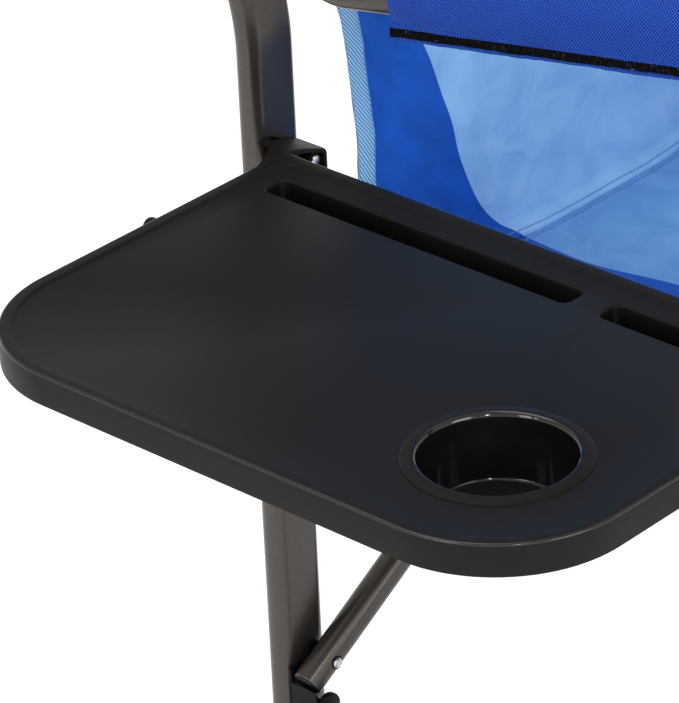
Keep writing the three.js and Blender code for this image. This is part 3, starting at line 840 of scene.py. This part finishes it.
def make_pad_edge(side, s):
    """Closed edge of the sleeve: black tape between its two hems, hanging under the arm."""
    x = s * (POST_X + PAD["half"] - 3)

    def strip(name, material, slot, top, low, half, out, stands_for=(), rough=0.3, rows=140):
        def at(i, j):
            y = PAD["y1"] + 2 + (PAD["y0"] - PAD["y1"] - 4) * j / rows
            u, w = rounded(half, (top - low) / 2, min(half, (top - low) / 2) * 0.8, 3)[i]
            ragged = rough * noise.noise(Vector((y / 6, w, top)))
            drift = 0.8 * noise.noise(Vector((y / 45, 2, top)))
            z = arm_z(y) - PAD["below"] + (top + low) / 2 + w
            return x + s * (out + u + 0.4 * drift), y, z + drift + ragged
        bm = bmesh.new()
        skin(bm, at, 16, rows, cap=(True, True))
        return finish_piece(name, bm, material, f"{side}_frame", slot, stands_for)
    strip(f"hook_tape_{side}", HOOK, "hook_tape", 1.5, -5.4, 2.2, 0, f"hook_strip_{side}", 0.9)
    strip(f"inner_hem_{side}", PAD_CLOTH, "pad_cloth", -4.6, -7, 1.3, 0.6, rough=0.4)
    strip(f"outer_hem_{side}", PAD_CLOTH, "pad_cloth", 3.2, 0.6, 1.5, 1.2, rough=0.2)


# ---- tray -----------------------------------------------------------------
def tray_outline(inset):
    """Points round the tray, set in from its edge; the outer corners are large."""
    r, q = max(81 - inset, 2), 3 + 1.1 * inset
    a, b, h = TRAY["x0"] + inset, TRAY["x1"] - inset, TRAY["half_y"] - inset
    return (arc((b - q, h - q), q, 0, 90, 8) + arc((a + r, h - r), r, 90, 180, 26)
            + arc((a + r, -h + r), r, 180, 270, 26) + arc((b - q, -h + q), q, 270, 360, 8))


def hole_rings(bm, outline, profile):
    """A well: outline(inset) goes down a profile of (inset, z); its floor is closed."""
    skin(bm, lambda i, j: (*outline(profile[j][0])[i], profile[j][1]),
         len(outline(0)), len(profile) - 1, cap=(False, True))


def slot_outline(slot):
    x0, x1, y0, y1 = slot

    def outline(inset):
        r = max(5 - inset, 0.8)
        points = rounded((x1 - x0) / 2 - inset, (y1 - y0) / 2 - inset, r, 5)
        return [((x0 + x1) / 2 + u, (y0 + y1) / 2 + w) for u, w in points]
    return outline


def round_outline(radius):
    def outline(inset):
        return arc((CUP["x"], CUP["y"]), radius - inset, 0, 357.5, 143)
    return outline


def level_edges(bm, z):
    """Open edges that lie at a height."""
    return [e for e in bm.edges if e.is_boundary and all(abs(v.co.z - z) < 1e-3 for v in e.verts)]


def make_tray():
    top, field = TRAY["top"], TRAY["top"] - TRAY["sink"]
    base, under = top - TRAY["thick"], field - 3
    bm = bmesh.new()
    edge = [(3.0, under), (3.0, base + 0.6), (2.4, base), (0.7, base), (0.1, base + 0.5)]
    edge += [(0, base + 1.2), (0, top - 4)]
    rub = 1.3  # radius of the tray's top edge
    edge += [(0, top - rub)]
    turn = [math.radians(a) for a in range(0, 91, 15)]
    top_edge = [(rub - rub * math.cos(a), top - rub + rub * math.sin(a)) for a in turn]
    inner = TRAY["lip"]
    rim = [top_edge[-1], (inner - 1.4, top), (inner - 0.6, top - 0.2), (inner, top - 0.7),
           (inner + 0.4, field + 0.3), (inner + 1.3, field)]
    for rows, finish in ((edge, 0), (top_edge, 2), (rim, 0)):
        faces = skin(bm, lambda i, j: (*tray_outline(rows[j][0])[i], rows[j][1]),
                     len(tray_outline(0)), len(rows) - 1)
        for face in faces:
            face.material_index = finish
    for slot in SLOTS:
        floor = top - SLOT_DEPTH
        hole_rings(bm, slot_outline(slot), [
            (-1.6, field), (-1.0, field - 0.15), (-0.4, field - 0.6), (0, field - 1.4),
            (0.3, floor + 1.5), (0.8, floor + 0.4), (1.8, floor)])
        hole_rings(bm, slot_outline(slot), [(-2.2, under), (-2.2, floor - 1.6), (-1.2, floor - 2.2)])
    ring = CUP["ring"]
    # The ring round the cup rises towards the opening.
    lip = [(0, 0), (0.15, 0.5), (0.5, 0.8), (1.1, 1), (3.2, 1.45), (5.4, 1.9), (6.2, 2),
           (7.4, 1.95), (8.4, 1.5), (9.1, 0.6), (9.5, -0.6), (9.7, -1.9)]
    lip = [(inset, field + rise) for inset, rise in lip]
    low = top - CUP["depth"]
    # The cup's wall tapers and its floor is dished at the rim.
    wall = [(9.9, top - 6), (12.9, low + 2), (13.2, low + 0.8), (13.8, low + 0.2), (15, low),
            (30, low), (40, low)]
    # The slots' walls and floors take the black nylon, darker than the tray: painted shade inside the
    # pockets.
    for face in bm.faces:
        centre = face.calc_center_median()
        in_slot = SLOTS[0][0] - 1 < centre.x < SLOTS[0][1] + 1 and centre.z < field - 2
        if in_slot and abs(centre.y) < TRAY["half_y"] - 15:
            face.material_index = 3
    ring_faces = len(bm.faces)
    hole_rings(bm, round_outline(ring), lip + wall)
    bm.faces.ensure_lookup_table()
    for face in bm.faces[ring_faces:]:
        centre = face.calc_center_median()
        if math.hypot(centre.x - CUP["x"], centre.y - CUP["y"]) < ring - 7:
            face.material_index = 1
    hole_rings(bm, round_outline(CUP["r"] + 3), [
        (0, under), (1.5, under - 3), (5.5, low - 1), (7, low - 2.5)])
    for z in (field, under):
        bmesh.ops.triangle_fill(bm, use_beauty=True, use_dissolve=False, edges=level_edges(bm, z))
    finish_piece("tray_moulding", bm, [TRAY_PP, CUP_PP, EDGE_PP, NYLON], "side_tray",
                 "tray_plastic", "tray", smooth=32)


def make_ears():
    """Hollow ear that carries the tray on a post's face, open towards the tray's middle."""
    top = TRAY["top"]
    for end, e in ENDS:
        face = POST_Y - OVAL[1] - 0.45

        def outer(y, inset=0):
            # The outboard side runs from the tray's edge to the post in a hollow curve.
            share = max(0, min(1, (y - 211) / 21))
            left = -308 + 33 * share ** 0.75 + inset
            return [(left, 501 + inset), (-284, 501 + inset), (-272, 489 + inset),
                    (-251.5 - inset, 489 + inset), (-250.3 - inset, 490.2 + inset),
                    (-250.3 - inset, 506.5 - inset), (-250.8 - inset, 508.2 - inset),
                    (-252 - inset, 509.8 - inset), (-268, 515.8 - inset),
                    (-281, top - 0.3 - inset), (-287, top - inset), (left, top - inset)]
        pocket = [(-275, 495), (-274.6, 493.4), (-273, 493), (-254.2, 493), (-253, 493.8),
                  (-252.5, 495), (-252.5, 505.6), (-253, 507.2), (-255, 508.4), (-268, 513),
                  (-274, 514.6), (-275, 513.6)]
        rows = [(face, outer(face, 0.5)), (face - 0.5, outer(face))]
        rows += [(y, outer(y)) for y in (229, 226, 223, 220, 217, 214, 212, 211, 210)]
        rows += [(209.3, outer(209.6, 0.2)), (209, outer(209.6, 0.8))]
        rows += [(209, [(x - 0.3, z) for x, z in pocket]), (209.6, pocket), (228, pocket)]

        def at(i, j):
            y, points = rows[j]
            return points[i][0], e * y, points[i][1]
        bm = bmesh.new()
        skin(bm, at, 12, len(rows) - 1, cap=(True, True))
        finish_piece(f"tray_ear_{end}", bm, TRAY_PP, "side_tray", "tray_plastic", smooth=35)
        bm = bmesh.new()
        dome(bm, (HINGE[0], e * 213, HINGE[1]), (0, -e, 0), 4.2, 2.4, 6)
        finish_piece(f"hinge_bolt_{end}", bm, ZINC, "side_tray", "fastener", f"tray_bolt_{end}")
        bm = bmesh.new()
        ends = [(HINGE[0], e * y, HINGE[1]) for y in (228.5, 213.1)]
        rod(bm, *ends, 4.8, 24, 0.3)
        nylon(f"hinge_boss_{end}", bm, "side_tray")
        bm = bmesh.new()
        ends = [(PIN["x"], e * (TRAY["half_y"] + d), PIN["z"]) for d in (0.2, PIN["out"])]
        rod(bm, *ends, PIN["r"], edge=1.6)
        nylon(f"strut_pin_cap_{end}", bm, "side_tray", f"strut_pin_{end}")


def make_strut():
    foot = Vector((STRUT["foot_x"], 0, STRUT["foot_z"]))
    tip = Vector((STRUT["x"], 0, STRUT["z"]))
    near = foot + (tip - foot).normalized() * 3.9
    for end, e in ENDS:
        shift = Vector((0, e * STRUT["y"], 0))
        bm = bmesh.new()
        rod(bm, near + shift, tip + shift, STRUT["r"], 20)
        painted(f"strut_rod_{end}", bm, "tray_strut", f"strut_arm_{end}")
        low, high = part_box(f"strut_bracket_{end}")
        a, b = (low - CENTRE) * 1000, (high - CENTRE) * 1000
        bm = bmesh.new()
        block(bm, (a.x, b.x), (a.y, b.y), (a.z, b.z), 1.2)
        nylon(f"strut_lug_{end}", bm, "right_frame", f"strut_bracket_{end}")
    bm = bmesh.new()
    half = Vector((0, STRUT["half"], 0))
    rod(bm, foot - half, foot + half, STRUT["r"], 20)
    painted("strut_axle_rod", bm, "tray_strut", "strut_axle")


# ---- stage, light and camera ----------------------------------------------
def make_stage():
    bm = bmesh.new()
    bmesh.ops.create_grid(bm, x_segments=1, y_segments=1, size=30)
    mesh = bpy.data.meshes.new("studio_floor")
    bm.to_mesh(mesh)
    bm.free()
    floor = bpy.data.objects.new("studio_floor", mesh)
    floor.location.z = -0.001
    bpy.context.scene.collection.objects.link(floor)
    material, tree, shader = new_material("pale_floor", Roughness=0.95)
    shader.inputs["Base Color"].default_value = srgb("FFFFFF")
    shader.inputs["Emission Color"].default_value = srgb("FFFFFF")
    shader.inputs["Emission Strength"].default_value = 0.38
    mesh.materials.append(material)
    world = bpy.data.worlds.new("soft_studio")
    world.use_nodes = True
    bpy.context.scene.world = world
    tree = world.node_tree
    height = add_node(tree, "ShaderNodeSeparateXYZ", {
        "Vector": add_node(tree, "ShaderNodeTexCoord").outputs["Generated"]})
    # Bright at the horizon, dimmer overhead.
    sky = ramp(tree, height.outputs["Z"], [(0.05, "FFFDFA"), (0.35, "D2CFCA"), (0.9, "C0BDB8")])
    background = tree.nodes["Background"]
    tree.links.new(sky.outputs["Color"], background.inputs["Color"])
    background.inputs["Strength"].default_value = 1.05


def make_lights():
    aim = CENTRE + Vector((-0.3, 0, 0.5))
    for name, spot, size, power in (
            ("overhead_softbox", (-0.4, 0.5, 2.4), (1.2, 1.2), 9),
            ("side_softbox", (-2.6, -0.2, 1.5), (0.7, 1.2), 11),
            ("front_softbox", (-0.3, -3.0, 1.6), (1.4, 1.2), 24),
            ("tall_strip_front", (-1.95, -2.4, 1.97), (0.14, 0.8), 12),
            ("tall_strip_side", (-3.01, 0.54, 1.75), (0.1, 0.5), 4)):
        data = bpy.data.lights.new(name, "AREA")
        data.shape = "RECTANGLE"
        data.size, data.size_y = size
        data.energy = power
        lamp = bpy.data.objects.new(name, data)
        lamp.location = spot
        lamp.rotation_euler = (aim - Vector(spot)).to_track_quat("-Z", "Y").to_euler()
        bpy.context.scene.collection.objects.link(lamp)


CAMERA_FROM_CUP = Vector((-1.5671, -1.3838, 1.2030))  # metres from the cup holder's centre
CAMERA_AZIMUTH, CAMERA_DOWN, CAMERA_ROLL = -46.36, 28.58, -2.67  # degrees
LENS = 236.2


def make_camera():
    cup = TO_ROW @ Vector((CUP["x"], CUP["y"], TRAY["top"]))
    az, down, roll = (math.radians(a) for a in (CAMERA_AZIMUTH, CAMERA_DOWN, CAMERA_ROLL))
    ahead = Vector((-math.sin(az) * math.cos(down), math.cos(az) * math.cos(down),
                    -math.sin(down)))
    right = ahead.cross(Vector((0, 0, 1))).normalized()
    up = right.cross(ahead)
    across = right * math.cos(roll) + up * math.sin(roll)
    upright = up * math.cos(roll) - right * math.sin(roll)
    turn = Matrix((across, upright, -ahead)).transposed()
    data = bpy.data.cameras.new("studio_camera")
    data.lens = LENS
    data.sensor_width = 36
    data.clip_start, data.clip_end = 0.05, 100
    camera = bpy.data.objects.new("studio_camera", data)
    camera.matrix_world = Matrix.Translation(cup + CAMERA_FROM_CUP) @ turn.to_4x4()
    bpy.context.scene.collection.objects.link(camera)
    bpy.context.scene.camera = camera


def close_with_fold(pieces):
    """Gives each cloth piece a mesh of its own."""
    for piece in pieces:
        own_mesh(piece)


make_camera()
make_posts()
make_caps()
make_pivot_blocks()
make_arm_brackets()
make_legs()
seat, seat_across = make_seat()
back, back_spot = make_back()
seam = make_seam(back_spot)
make_back_sleeves()
binding = make_binding()
make_pads()
make_tray()
make_ears()
make_strut()

close_with_fold([seat] + seam[:1])
close_with_fold([back] + binding + seam[1:])

make_stage()
make_lights()
bpy.context.scene.view_settings.view_transform = "Standard"
